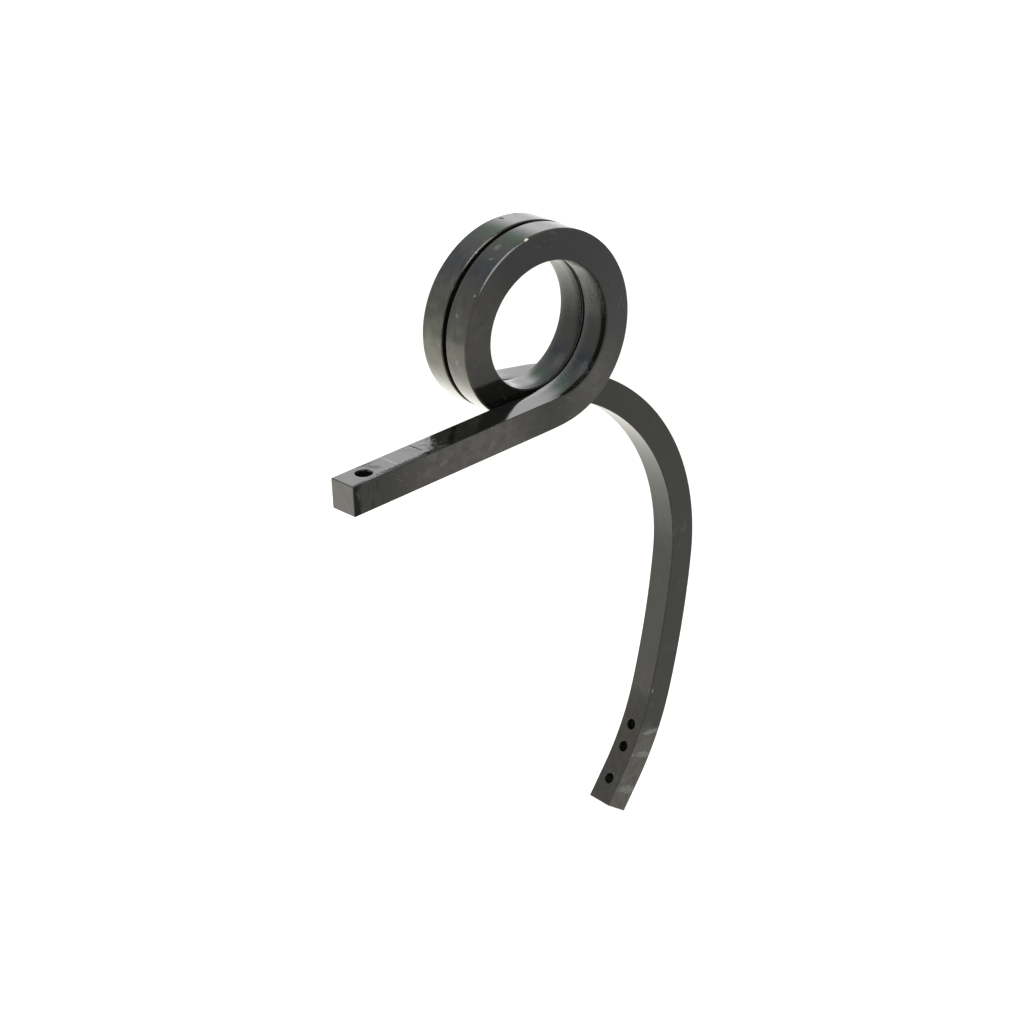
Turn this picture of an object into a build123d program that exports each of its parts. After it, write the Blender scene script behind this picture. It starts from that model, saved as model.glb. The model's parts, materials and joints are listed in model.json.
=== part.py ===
"""Cultivator spring tine: one square steel bar, wound into a two-turn coil and bent into a curved leg."""

from build123d import *
from math import ceil, cos, pi, radians, sin
import os

# ---- the bar (millimetres; angles in degrees) ----
bar_side = 30.0
bar_edge_bevel = 0.8

# ---- arm: straight, bolted to the implement's frame ----
arm_length = 237.0
arm_hole_diameter = 16.0
arm_hole_from_end = 26.0

# ---- coil: as it is wound, the bar spreads at the bore, thins outside and deepens, and its inner corners soften ----
coil_bore_radius = 64.0
coil_turns = 2
leg_start_dip = 8.5
turn_gap = 2.0
coil_depth_growth = 1.05
keystone_share = 0.08
coil_inner_edge_bevel = 1.6

# ---- ways in and out of the coil: the bend tightens and opens gradually, then stops drifting sideways ----
lead_in_length = 60.0
lead_out_length = 90.0
drift_ease_length = 70.0

# ---- leg: three clockwise bends and a straight toe ----
shoulder_radius = 230.0
shoulder_angle = 89.0
shank_radius = 950.0
shank_angle = 9.5
toe_radius = 300.0
toe_angle = 19.5
toe_length = 37.0

# ---- holes that hold the soil-working point ----
share_hole_diameter = 11.5
lowest_hole_from_end = 27.0
middle_hole_spacing = 40.0
upper_hole_spacing = 27.5
hole_break = 0.4
end_break = 0.6

# ---- worked out from the sizes above ----
coil_depth = bar_side * coil_depth_growth
coil_inner_width = bar_side * (1 + keystone_share)
coil_outer_width = bar_side * (1 - keystone_share)
coil_radius = coil_bore_radius + coil_depth / 2
coil_pitch = coil_inner_width + turn_gap
helix_slope = coil_pitch / (2 * pi * coil_radius)
wound_angle = radians(360 * coil_turns - leg_start_dip)
wound_length = wound_angle * coil_radius + (lead_in_length + lead_out_length) / 2
ease_start = wound_length - drift_ease_length
station_spacing = coil_radius * radians(9)
steps_per_station = 20
straight_lead = 2 * station_spacing


def smooth(share):
    """0 below 0, 1 above 1, with a smooth rise between."""
    share = min(max(share, 0.0), 1.0)
    return share**2 * (3 - 2 * share)


def smooth_sum(share):
    """Area under smooth, from 0 up to a share of 0 or more."""
    return share**3 - share**4 / 2 if share < 1 else share - 0.5


def wound_share(travel):
    """How tightly the bar is bent at a length along the coil: 0 at both ends, 1 all round the coil."""
    return smooth(travel / lead_in_length) * smooth((wound_length - travel) / lead_out_length)


def wound_heading(travel):
    """Direction of the centreline in the side view, in radians: the bend added up along the bar."""
    to_go = wound_length - travel
    if to_go < lead_out_length:
        return wound_angle - lead_out_length * smooth_sum(to_go / lead_out_length) / coil_radius
    return lead_in_length * smooth_sum(max(travel, 0.0) / lead_in_length) / coil_radius


def wound_drift(travel):
    """Sideways place of the centreline: a steady helix that eases out at the end."""
    eased = max(travel - ease_start, 0.0) / drift_ease_length
    return helix_slope * (min(travel, ease_start) + drift_ease_length * (eased - smooth_sum(eased)))


def wound_slope(travel):
    """Sideways drift for each millimetre of travel."""
    return helix_slope * (1 - smooth((travel - ease_start) / drift_ease_length))


def wound_stations():
    """Lengths along the wound bar, from the straight before it, each with its point on the centreline."""
    reach = straight_lead + wound_length
    count = ceil(reach / station_spacing)
    step = reach / (count * steps_per_station)
    x, z = -straight_lead, 0.0
    stations = []
    for i in range(count * steps_per_station + 1):
        travel = i * step - straight_lead
        if i % steps_per_station == 0:
            stations.append((travel, coil_start + Vector(x, wound_drift(travel), z)))
        heading = wound_heading(travel + step / 2)
        x += cos(heading) * step
        z += sin(heading) * step
    return stations


def bar_plane(place, heading, slope):
    """Section plane: x runs sideways along the coil's axis, y towards the coil's centre."""
    along = Vector(cos(heading), slope, sin(heading)).normalized()
    sideways = Vector(0, 1, 0) - along * along.Y
    return Plane(origin=place, x_dir=sideways, z_dir=along)


def bar_section(plane, winding):
    """Bar section with its corners bevelled: winding is 0 for the plain square, 1 for the full keystone."""
    depth = bar_side + (coil_depth - bar_side) * winding
    inner = bar_side + (coil_inner_width - bar_side) * winding
    outer = bar_side + (coil_outer_width - bar_side) * winding
    corners = [(-outer / 2, -depth / 2), (outer / 2, -depth / 2), (inner / 2, depth / 2), (-inner / 2, depth / 2)]
    outline = make_face(Polyline(*corners, close=True))
    inner_corners = outline.vertices().group_by(Axis.Y)[-1]
    outline = chamfer(inner_corners, bar_edge_bevel + (coil_inner_edge_bevel - bar_edge_bevel) * winding)
    outer_corners = outline.vertices().group_by(Axis.Y)[0]
    return plane * chamfer(outer_corners, bar_edge_bevel)


# The arm's bolt hole is the origin; the arm runs from its free end towards the coil, tangent to the helix.
arm_direction = Vector(1, helix_slope, 0).normalized()
coil_start = arm_direction * (arm_length - arm_hole_from_end)


def make_wound_bar(stations):
    """Coil with its ways in and out: sections square to the centreline, skinned from one to the next."""
    sections = []
    for travel, place in stations:
        plane = bar_plane(place, wound_heading(travel), wound_slope(travel))
        sections.append(bar_section(plane, wound_share(travel)))
    return loft(sections)


def make_arm(start):
    """The straight arm, in line with the start of the wound bar, its free end bevelled."""
    root = bar_section(bar_plane(start, 0.0, helix_slope), 0.0)
    arm = extrude(root, amount=-start.length - arm_hole_from_end)
    free_end = arm.faces().sort_by(Axis.X)[0]
    return chamfer(free_end.edges(), end_break)


def make_leg_path(start):
    """Centreline of the leg in its own upright plane: three clockwise bends and the straight toe."""
    upright = Plane(start, x_dir=(cos(wound_angle), 0, sin(wound_angle)), z_dir=(0, -1, 0))
    shoulder = JernArc((0, 0), (1, 0), shoulder_radius, -shoulder_angle)
    shank = JernArc(shoulder @ 1, shoulder % 1, shank_radius, -shank_angle)
    bend = JernArc(shank @ 1, shank % 1, toe_radius, -toe_angle)
    toe = Line(bend @ 1, bend @ 1 + (bend % 1) * toe_length)
    return upright * Wire([shoulder.edge(), shank.edge(), bend.edge(), toe.edge()])


def make_leg(path):
    """The leg: the square bar swept along its bends, its free end bevelled."""
    root = bar_section(bar_plane(path @ 0, wound_angle, 0.0), 0.0)
    leg = sweep(root, path=path)
    free_end = leg.faces().sort_by_distance(path @ 1)[0]
    return chamfer(free_end.edges(), end_break)


def drilled(bar, place, across, diameter):
    """The bar with one hole drilled through it, both rims slightly broken."""
    bar -= Plane(origin=place, z_dir=across) * Cylinder(diameter / 2, 2 * bar_side)
    wall = bar.faces().filter_by(GeomType.CYLINDER).sort_by_distance(place)[0]
    rims = wall.edges().filter_by(GeomType.LINE, reverse=True)
    return chamfer(rims, hole_break)


def share_drilled(bar, path, from_end):
    """The bar with one hole through the leg, square to its front face."""
    along = path.length - from_end
    place = path.position_at(along, position_mode=PositionMode.LENGTH)
    forward = path.tangent_at(along, position_mode=PositionMode.LENGTH)
    return drilled(bar, place, forward.cross(Vector(0, 1, 0)), share_hole_diameter)


def make_tine():
    """The whole bar in one piece, with its four holes."""
    stations = wound_stations()
    path = make_leg_path(stations[-1][1])
    tine = make_arm(stations[0][1]) + make_wound_bar(stations) + make_leg(path)
    tine = drilled(tine, Vector(0, 0, 0), Vector(0, 0, 1), arm_hole_diameter)
    middle = lowest_hole_from_end + middle_hole_spacing
    for from_end in (lowest_hole_from_end, middle, middle + upper_hole_spacing):
        tine = share_drilled(tine, path, from_end)
    return tine


def main():
    """Write the part."""
    os.makedirs("parts", exist_ok=True)
    tine = make_tine()
    export_step(tine, "parts/spring_tine.step")


main()
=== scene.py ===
"""Cultivator spring tine: square steel bar, wound into a coil, bent into a leg, drilled and painted black."""

import json
from math import cos, pi, radians, sin

import bpy
from bpy.props import FloatProperty, FloatVectorProperty, IntProperty, PointerProperty
from mathutils import Matrix, Vector


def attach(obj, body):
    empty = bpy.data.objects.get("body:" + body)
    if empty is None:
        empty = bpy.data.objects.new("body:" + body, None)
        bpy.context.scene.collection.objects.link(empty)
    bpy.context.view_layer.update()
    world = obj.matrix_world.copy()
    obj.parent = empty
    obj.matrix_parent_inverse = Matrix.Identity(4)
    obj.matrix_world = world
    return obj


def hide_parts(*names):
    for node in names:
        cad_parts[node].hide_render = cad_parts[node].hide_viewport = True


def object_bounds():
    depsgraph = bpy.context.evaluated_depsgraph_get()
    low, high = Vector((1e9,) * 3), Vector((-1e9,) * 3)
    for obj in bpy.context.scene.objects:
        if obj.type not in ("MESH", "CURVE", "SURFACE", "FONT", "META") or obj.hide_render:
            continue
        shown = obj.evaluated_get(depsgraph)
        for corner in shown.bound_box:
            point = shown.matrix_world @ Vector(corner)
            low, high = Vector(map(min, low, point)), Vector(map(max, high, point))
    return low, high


bl_info = {
    "name": "Cultivator Spring Tine",
    "version": (1, 0, 0),
    "blender": (4, 5, 0),
    "location": "3D View > Sidebar > Tine",
    "description": "Builds a painted spring tine of wound square bar, with its holes and a plain studio",
    "category": "Object",
}

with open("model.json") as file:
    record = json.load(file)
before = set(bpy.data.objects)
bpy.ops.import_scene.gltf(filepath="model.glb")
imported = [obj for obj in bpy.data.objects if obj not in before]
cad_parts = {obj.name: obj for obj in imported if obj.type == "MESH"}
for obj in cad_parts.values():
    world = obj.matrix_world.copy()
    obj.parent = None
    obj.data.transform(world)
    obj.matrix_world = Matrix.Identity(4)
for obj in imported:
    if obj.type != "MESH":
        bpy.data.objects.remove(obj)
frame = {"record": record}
CAD_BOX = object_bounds()
NODE = "spring_tine"
MOUNTS = {mount["name"]: mount for mount in frame["record"]["mounts"]}
HOLES = ("arm_bolt", "share_bolt_lower", "share_bolt_middle", "share_bolt_upper")


def length(name, value, description):
    """A length property in metres."""
    return FloatProperty(name=name, description=description, default=value, unit="LENGTH", precision=5)


def angle(name, degrees, description):
    """An angle property, its default given in degrees."""
    return FloatProperty(name=name, description=description, default=radians(degrees), subtype="ANGLE")


def share(name, value, description):
    """A share of a whole, with no unit."""
    return FloatProperty(name=name, description=description, default=value, subtype="FACTOR", precision=4)


def plain(name, value, description):
    """A number with no unit."""
    return FloatProperty(name=name, description=description, default=value)


def colour(name, value, description):
    """A colour property."""
    return FloatVectorProperty(name=name, description=description, default=value, size=3, subtype="COLOR",
                               min=0.0, max=1.0)


class BarSizes(bpy.types.PropertyGroup):
    """Sizes of the bar and of the way it is bent; each is an input of the bar's node tree."""

    bar_side: length("Bar Side", 0.030, "Side of the square bar")
    bar_edge_radius: length("Bar Edge Radius", 0.0011, "Rounding of the bar's corners")
    bore_edge_fall: length("Bore Edge Fall", 0.0016, "How far the coil's bore face falls away at its edges")
    bore_edge_width: length("Bore Edge Width", 0.009, "Width of the strip along each edge that falls")
    end_radius: length("End Radius", 0.0009, "Rounding around the sawn ends")
    arm_length: length("Arm Length", 0.237, "Straight arm, from its free end to the coil")
    hole_from_end: length("Hole From End", 0.026, "Arm's bolt hole to the arm's free end")
    bore_radius: length("Bore Radius", 0.064, "Radius of the coil's bore")
    turn_gap: length("Turn Gap", 0.002, "Gap between the coil's turns at the bore")
    wound_angle: angle("Wound Angle", 711.5, "Total bend of the coil")
    depth_growth: share("Depth Growth", 1.05, "Depth of the wound bar over that of the plain bar")
    keystone: share("Keystone", 0.08, "Share by which the wound bar widens at the bore and narrows outside")
    lead_in: length("Lead In", 0.060, "Stretch over which the bend into the coil tightens")
    lead_out: length("Lead Out", 0.090, "Stretch over which the bend out of the coil opens")
    drift_ease: length("Drift Ease", 0.070, "Stretch over which the sideways drift of the coil ends")
    shoulder_radius: length("Shoulder Radius", 0.230, "Bend radius of the leg below the coil")
    shoulder_angle: angle("Shoulder Angle", 89.0, "Bend of the leg below the coil")
    shank_radius: length("Shank Radius", 0.950, "Bend radius of the leg's nearly straight shank")
    shank_angle: angle("Shank Angle", 9.5, "Bend of the shank")
    toe_radius: length("Toe Radius", 0.300, "Bend radius of the leg above its toe")
    toe_angle: angle("Toe Angle", 19.5, "Bend of the leg above its toe")
    toe_length: length("Toe Length", 0.037, "Straight toe")
    ring_spacing: length("Ring Spacing", 0.002, "Distance between the rings of the bar's mesh")


class HoleSizes(bpy.types.PropertyGroup):
    """Sizes of the drilled holes."""

    rim_break: length("Rim Break", 0.0005, "Break of each hole's rim")
    sides: IntProperty(name="Sides", description="Sides of each drilled hole", default=64, min=12)


class PaintLook(bpy.types.PropertyGroup):
    """Colours and state of the paint."""

    enamel: colour("Enamel", (0.0056, 0.0052, 0.0046), "Colour of the black enamel")
    film: colour("Film", (0.044, 0.042, 0.037), "Colour of the thin dull film on the enamel")
    # Lighter warm colour laid over stretches of the coil's outside.
    warm_film: colour("Warm Film", (0.067, 0.068, 0.05), "Colour of the film on the outside of the coil")
    # Also the colour of the painted highlights along the outer corner and round the bolt hole.
    scuff: colour("Scuff", (0.2, 0.21, 0.2), "Colour of scuffs and smears")
    sawn_end: colour("Sawn End", (0.135, 0.127, 0.126), "Colour of the arm's smeared sawn end")
    # Worn corners, partly a painted highlight along them.
    worn_steel: colour("Worn Steel", (0.11, 0.11, 0.105), "Colour of the worn corners")
    speck: colour("Speck", (0.2, 0.2, 0.19), "Colour of the small specks")
    primer: colour("Primer", (0.62, 0.58, 0.46), "Colour of the primer that shows in the chip")
    soot: colour("Soot", (0.004, 0.004, 0.004), "Colour of soot and of dark marks")
    gloss_ior: plain("Gloss IOR", 1.41, "Index of refraction of the enamel")
    gloss_roughness: share("Gloss Roughness", 0.09, "Roughness of the glossiest enamel")
    relief: length("Relief", 0.00007, "Height of the paint's relief")
    # Also sets how much painted highlight the corners get.
    wear: share("Wear", 0.8, "How far the corners are worn")
    scuffs: share("Scuffs", 0.75, "How many scuffs there are")
    specks: share("Specks", 0.6, "How many specks there are")
    soot_length: length("Soot Length", 0.0085, "How much of the arm's end the soot covers")


class StudioSizes(bpy.types.PropertyGroup):
    """Camera and studio."""

    azimuth: angle("Azimuth", 40.16, "Direction in which the camera looks, turned from +Y towards +X")
    elevation: angle("Elevation", 26.194, "How far the camera looks down")
    roll: angle("Roll", -1.985, "Tilt of the camera about its own axis")
    distance: length("Distance", 2.2536, "Camera to the point it aims at")
    aim: FloatVectorProperty(name="Aim", description="Point that the camera aims at", size=3, unit="LENGTH",
                             default=(0.1553, -0.0188, -0.0709))
    lens: plain("Lens", 84.38, "Focal length in millimetres on a 36 mm sensor")
    floor_drop: length("Floor Drop", 0.03, "Floor below the lowest point of the tine")
    floor_reach: length("Floor Reach", 1.6, "Half the width of the floor")
    floor_colour: colour("Floor Colour", (0.9, 0.88, 0.82), "Colour of the floor")
    surround: plain("Surround", 1.22, "Brightness of the surround")
    back_glow: plain("Back Glow", 1.7, "Brightness that the glow behind adds to the surround")
    low_glow: plain("Low Glow", 0.4, "Brightness that the glow low behind adds to the surround")
    wide_pool: plain("Wide Pool", 1.15, "Brightness of the wide pool of light at the left of the floor")
    wide_tint: colour("Wide Tint", (1.0, 0.985, 0.86), "Tint of the wide pool")
    small_pool: plain("Small Pool", 1.5, "Brightness of the small pool of light behind the tine")
    small_tint: colour("Small Tint", (1.0, 1.0, 0.93), "Tint of the small pool")
    top_lamp: plain("Top Lamp", 8.0, "Power of the large lamp above, in watts")
    top_lamp_size: length("Top Lamp Size", 1.2, "Diameter of the large lamp above")


GROUPS = {"tine_bar": BarSizes, "tine_holes": HoleSizes, "tine_paint": PaintLook, "tine_studio": StudioSizes}


# ---- node helpers ----

def add_node(tree, kind, inputs=None, **settings):
    """One node, its settings applied and its inputs linked to sockets or set to values."""
    node = tree.nodes.new(kind)
    for name, value in settings.items():
        setattr(node, name, value)
    for key, value in (inputs or {}).items():
        socket = node.inputs[key]
        if isinstance(value, bpy.types.NodeSocket):
            tree.links.new(value, socket)
        else:
            socket.default_value = value
    return node


def first_of(tree, kind, inputs=None, **settings):
    """First output of one new node."""
    return add_node(tree, kind, inputs, **settings).outputs[0]


def calc(tree, operation, *values, clamp=False):
    """Result of one math node."""
    return first_of(tree, "ShaderNodeMath", dict(enumerate(values)), operation=operation, use_clamp=clamp)


def minus(tree, first, second):
    """Difference of two values."""
    return calc(tree, "SUBTRACT", first, second)


def total(tree, *values):
    """Sum of two or more values."""
    result = values[0]
    for value in values[1:]:
        result = calc(tree, "ADD", result, value)
    return result


def times(tree, *values):
    """Product of two or more values."""
    result = values[0]
    for value in values[1:]:
        result = calc(tree, "MULTIPLY", result, value)
    return result


def vector_of(tree, x, y, z):
    """Vector made of three values."""
    return first_of(tree, "ShaderNodeCombineXYZ", {0: x, 1: y, 2: z})


def vector_calc(tree, operation, *values):
    """Result of one vector math node."""
    inputs = dict(enumerate(values))
    if operation == "SCALE":
        inputs["Scale"] = inputs.pop(1)
    node = add_node(tree, "ShaderNodeVectorMath", inputs, operation=operation)
    return node.outputs["Value" if operation in ("DOT_PRODUCT", "LENGTH") else "Vector"]


def parts_of(tree, vector):
    """The three components of a vector."""
    return add_node(tree, "ShaderNodeSeparateXYZ", {0: vector}).outputs[:3]


def new_group(name, inputs, outputs, kind="GeometryNodeTree"):
    """Empty node group with its input and output nodes; a label that starts with * is a vector."""
    tree = bpy.data.node_groups.new(name, kind)
    for way, labels in (("INPUT", inputs), ("OUTPUT", outputs)):
        for label in labels:
            kind_of_socket = "NodeSocketVector" if label.startswith("*") else "NodeSocketFloat"
            tree.interface.new_socket(name=label.lstrip("*"), in_out=way, socket_type=kind_of_socket)
    return tree, tree.nodes.new("NodeGroupInput"), tree.nodes.new("NodeGroupOutput")


def use_group(tree, group, *values):
    """First output of a node group placed in a tree."""
    kind = "GeometryNodeGroup" if group.bl_idname == "GeometryNodeTree" else "ShaderNodeGroup"
    return first_of(tree, kind, dict(enumerate(values)), node_tree=group)


# ---- the rules that the bar is bent by ----

def ramp_group():
    """Smooth rise from 0 to 1 that begins at Start and takes Length."""
    tree, given, result = new_group("Ramp", ("Travel", "Start", "Length"), ("Share",))
    travel, start, span = given.outputs[:3]
    along = calc(tree, "DIVIDE", minus(tree, travel, start), span, clamp=True)
    square = times(tree, along, along)
    curve = times(tree, square, calc(tree, "MULTIPLY_ADD", along, -2.0, 3.0))
    tree.links.new(curve, result.inputs[0])
    return tree


def ramp_sum_group():
    """Area under the ramp, up to Travel."""
    tree, given, result = new_group("Ramp Sum", ("Travel", "Start", "Length"), ("Area",))
    travel, start, span = given.outputs[:3]
    along = calc(tree, "DIVIDE", minus(tree, travel, start), span)
    held = calc(tree, "ADD", along, 0.0, clamp=True)
    cube = times(tree, times(tree, held, held), held)
    rise = times(tree, cube, calc(tree, "MULTIPLY_ADD", held, -0.5, 1.0))
    beyond = calc(tree, "MAXIMUM", minus(tree, along, 1.0), 0.0)
    area = times(tree, total(tree, rise, beyond), span)
    tree.links.new(area, result.inputs[0])
    return tree


def bend_group():
    """Angle turned so far along an arc that begins at Start, has Radius and turns by Angle in all."""
    tree, given, result = new_group("Arc Bend", ("Travel", "Start", "Radius", "Angle"), ("Bend",))
    travel, start, radius, angle_in_all = given.outputs[:4]
    turned = calc(tree, "DIVIDE", minus(tree, travel, start), radius)
    tree.links.new(calc(tree, "MINIMUM", calc(tree, "MAXIMUM", turned, 0.0), angle_in_all), result.inputs[0])
    return tree


class BarRules:
    """Fields and single values of the bar's shape, worked out inside its node tree from the sizes."""

    def __init__(self, tree, size):
        """Work out the coil, the places where each stretch begins, and the whole length."""
        self.tree = tree
        self.size = size
        self.ramp = ramp_group()
        self.ramp_sum = ramp_sum_group()
        self.arc_bend = bend_group()
        side, keystone = size["bar_side"], size["keystone"]
        depth = times(tree, side, size["depth_growth"])
        self.coil_radius = calc(tree, "MULTIPLY_ADD", depth, 0.5, size["bore_radius"])
        pitch = total(tree, calc(tree, "MULTIPLY_ADD", side, keystone, side), size["turn_gap"])
        self.slope = calc(tree, "DIVIDE", pitch, times(tree, self.coil_radius, 2 * pi))
        turned = times(tree, size["wound_angle"], self.coil_radius)
        ways = times(tree, total(tree, size["lead_in"], size["lead_out"]), 0.5)
        self.wound_length = total(tree, turned, ways)
        self.opening_start = minus(tree, self.wound_length, size["lead_out"])
        self.ease_start = minus(tree, self.wound_length, size["drift_ease"])
        stretch = calc(tree, "SQRT", calc(tree, "MULTIPLY_ADD", self.slope, self.slope, 1.0))
        self.level_arm = calc(tree, "DIVIDE", size["arm_length"], stretch)
        self.level_hole = calc(tree, "DIVIDE", size["hole_from_end"], stretch)
        self.leg_starts = [self.wound_length]
        for name in ("shoulder", "shank", "toe"):
            arc = times(tree, size[name + "_radius"], size[name + "_angle"])
            self.leg_starts.append(total(tree, self.leg_starts[-1], arc))
        self.whole = total(tree, self.level_arm, self.leg_starts[-1], size["toe_length"])

    def winding(self, travel, begin=0.0):
        """Share of the full bend at a length along the wound bar, with the place where it begins to rise."""
        into = use_group(self.tree, self.ramp, travel, begin, self.size["lead_in"])
        out = use_group(self.tree, self.ramp, travel, self.opening_start, self.size["lead_out"])
        return minus(self.tree, into, out)

    def heading(self, travel):
        """Direction of the centreline in the side view."""
        tree, size = self.tree, self.size
        into = use_group(tree, self.ramp_sum, travel, 0.0, size["lead_in"])
        out = use_group(tree, self.ramp_sum, travel, self.opening_start, size["lead_out"])
        wound = calc(tree, "DIVIDE", minus(tree, into, out), self.coil_radius)
        for name, start in zip(("shoulder", "shank", "toe"), self.leg_starts):
            radius, angle_in_all = size[name + "_radius"], size[name + "_angle"]
            bend = use_group(tree, self.arc_bend, travel, start, radius, angle_in_all)
            wound = minus(tree, wound, bend)
        return wound

    def drift(self, travel):
        """Sideways place of the centreline, from the arm's bolt hole."""
        tree = self.tree
        eased = use_group(tree, self.ramp_sum, travel, self.ease_start, self.size["drift_ease"])
        past_hole = minus(tree, self.level_arm, self.level_hole)
        run = total(tree, minus(tree, travel, eased), past_hole)
        return times(tree, run, self.slope)

    def drift_slope(self, travel):
        """Sideways drift for each metre of travel."""
        eased = use_group(self.tree, self.ramp, travel, self.ease_start, self.size["drift_ease"])
        return times(self.tree, self.slope, minus(self.tree, 1.0, eased))


END_RINGS = 5  # rings that round each end
CORNER_STEPS = 5  # points that round each corner of the section
FLAT_CUTS = 9  # points along each flat side of the section
EARLY_SHARE = 0.75  # the bore face's far edge starts to fall this share of the lead-in before the coil begins


def ring_travel(tree, rules, count):
    """Length along the bar and inset of each ring: even steps, with closer rings round both ends."""
    index = first_of(tree, "GeometryNodeInputIndex")
    end_radius = rules.size["end_radius"]
    last = minus(tree, count, 1.0)
    even = minus(tree, last, 2.0 * END_RINGS)
    along = calc(tree, "DIVIDE", minus(tree, index, END_RINGS), even, clamp=True)
    straight = calc(tree, "MULTIPLY_ADD", end_radius, -2.0, rules.whole)
    travel = calc(tree, "MULTIPLY_ADD", along, straight, minus(tree, end_radius, rules.level_arm))
    insets = []
    for steps, side in ((index, -1.0), (minus(tree, last, index), 1.0)):
        turn = times(tree, calc(tree, "DIVIDE", steps, END_RINGS, clamp=True), pi / 2)
        reach = times(tree, calc(tree, "COSINE", turn), side)
        travel = calc(tree, "MULTIPLY_ADD", reach, end_radius, travel)
        insets.append(times(tree, minus(tree, 1.0, calc(tree, "SINE", turn)), end_radius))
    return travel, total(tree, *insets)


def at_next(tree, value, kind="FLOAT"):
    """The same field one point further on."""
    index = first_of(tree, "GeometryNodeInputIndex")
    inputs = {"Index": total(tree, index, 1.0), "Value": value}
    return first_of(tree, "GeometryNodeFieldAtIndex", inputs, data_type=kind)


def capture(tree, geometry, fields):
    """Geometry with fields kept on its points: returns it and the kept fields."""
    node = tree.nodes.new("GeometryNodeCaptureAttribute")
    for name, (kind, socket) in fields.items():
        node.capture_items.new(kind, name)
    tree.links.new(geometry, node.inputs["Geometry"])
    for name, (kind, socket) in fields.items():
        tree.links.new(socket, node.inputs[name])
    return node.outputs["Geometry"], {name: node.outputs[name] for name in fields}


def bar_centreline(tree, rules):
    """The bar's centreline as a line of points, with the section's frame kept on each."""
    count = calc(tree, "CEIL", calc(tree, "DIVIDE", rules.whole, rules.size["ring_spacing"]))
    count = total(tree, count, 2.0 * END_RINGS)
    line = first_of(tree, "GeometryNodeMeshLine", {"Count": count})
    travel, inset = ring_travel(tree, rules, count)
    heading = rules.heading(travel)
    level, climb = calc(tree, "COSINE", heading), calc(tree, "SINE", heading)
    halfway = times(tree, total(tree, heading, at_next(tree, heading)), 0.5)
    step = minus(tree, at_next(tree, travel), travel)
    walk = vector_of(tree, calc(tree, "COSINE", halfway), 0.0, calc(tree, "SINE", halfway))
    walked = add_node(tree, "GeometryNodeAccumulateField", {0: vector_calc(tree, "SCALE", walk, step)},
                      data_type="FLOAT_VECTOR").outputs["Trailing"]
    start = vector_of(tree, times(tree, rules.level_hole, -1.0), rules.drift(travel), 0.0)
    place = vector_calc(tree, "ADD", start, walked)
    along = vector_calc(tree, "NORMALIZE", vector_of(tree, level, rules.drift_slope(travel), climb))
    across = vector_calc(tree, "SCALE", along, parts_of(tree, along)[1])
    sideways = vector_calc(tree, "NORMALIZE", vector_calc(tree, "SUBTRACT", (0.0, 1.0, 0.0), across))
    inward = vector_calc(tree, "CROSS_PRODUCT", along, sideways)
    early = rules.winding(travel, times(tree, rules.size["lead_in"], -EARLY_SHARE))
    line, kept = capture(tree, line, {
        "Place": ("VECTOR", place), "Sideways": ("VECTOR", sideways), "Inward": ("VECTOR", inward),
        "Travel": ("FLOAT", travel), "Inset": ("FLOAT", inset), "Winding": ("FLOAT", rules.winding(travel)),
        "Early": ("FLOAT", early),
    })
    moved = first_of(tree, "GeometryNodeSetPosition", {0: line, "Position": kept["Place"]})
    return first_of(tree, "GeometryNodeMeshToCurve", {"Mesh": moved}), kept


def rounded_square(tree, side, radius):
    """Closed outline of a square with rounded corners and points along its flat sides."""
    square = add_node(tree, "GeometryNodeCurvePrimitiveQuadrilateral", {"Width": side, "Height": side})
    rounding = {"Curve": square.outputs[0], "Radius": radius, "Count": CORNER_STEPS}
    corners = first_of(tree, "GeometryNodeFilletCurve", rounding, mode="POLY")
    here = first_of(tree, "GeometryNodeInputPosition")
    following = at_next(tree, here, "FLOAT_VECTOR")
    step = vector_calc(tree, "LENGTH", vector_calc(tree, "SUBTRACT", following, here))
    flat = calc(tree, "GREATER_THAN", step, times(tree, side, 0.5))
    cuts = times(tree, flat, FLAT_CUTS)
    return first_of(tree, "GeometryNodeSubdivideCurve", {"Curve": corners, "Cuts": cuts})


def bore_fall(tree, size, across, height):
    """How far a point of the wound section is drawn back from the bore, close to the bore face's edges."""
    half = times(tree, size["bar_side"], 0.5)
    from_edge = minus(tree, half, calc(tree, "ABSOLUTE", across))
    near = calc(tree, "SUBTRACT", 1.0, calc(tree, "DIVIDE", from_edge, size["bore_edge_width"]), clamp=True)
    return times(tree, near, near, calc(tree, "MAXIMUM", height, 0.0), size["bore_edge_fall"])


def bar_profile(tree, rules):
    """Outline of the plain bar, with the outline of the wound bar kept on the same points."""
    size = rules.size
    square = rounded_square(tree, size["bar_side"], size["bar_edge_radius"])
    here = first_of(tree, "GeometryNodeInputPosition")
    across, inward, _ = parts_of(tree, here)
    height = calc(tree, "DIVIDE", inward, times(tree, size["bar_side"], 0.5))
    wider = times(tree, across, calc(tree, "MULTIPLY_ADD", height, size["keystone"], 1.0))
    fall = bore_fall(tree, size, across, height)
    deeper = times(tree, inward, size["depth_growth"])
    far = calc(tree, "GREATER_THAN", across, 0.0)
    wound = vector_of(tree, wider, deeper, 0.0)
    return capture(tree, square, {"Plain": ("VECTOR", here), "Wound": ("VECTOR", wound),
                                 "Fall": ("FLOAT", fall), "Far": ("FLOAT", far)})


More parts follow.
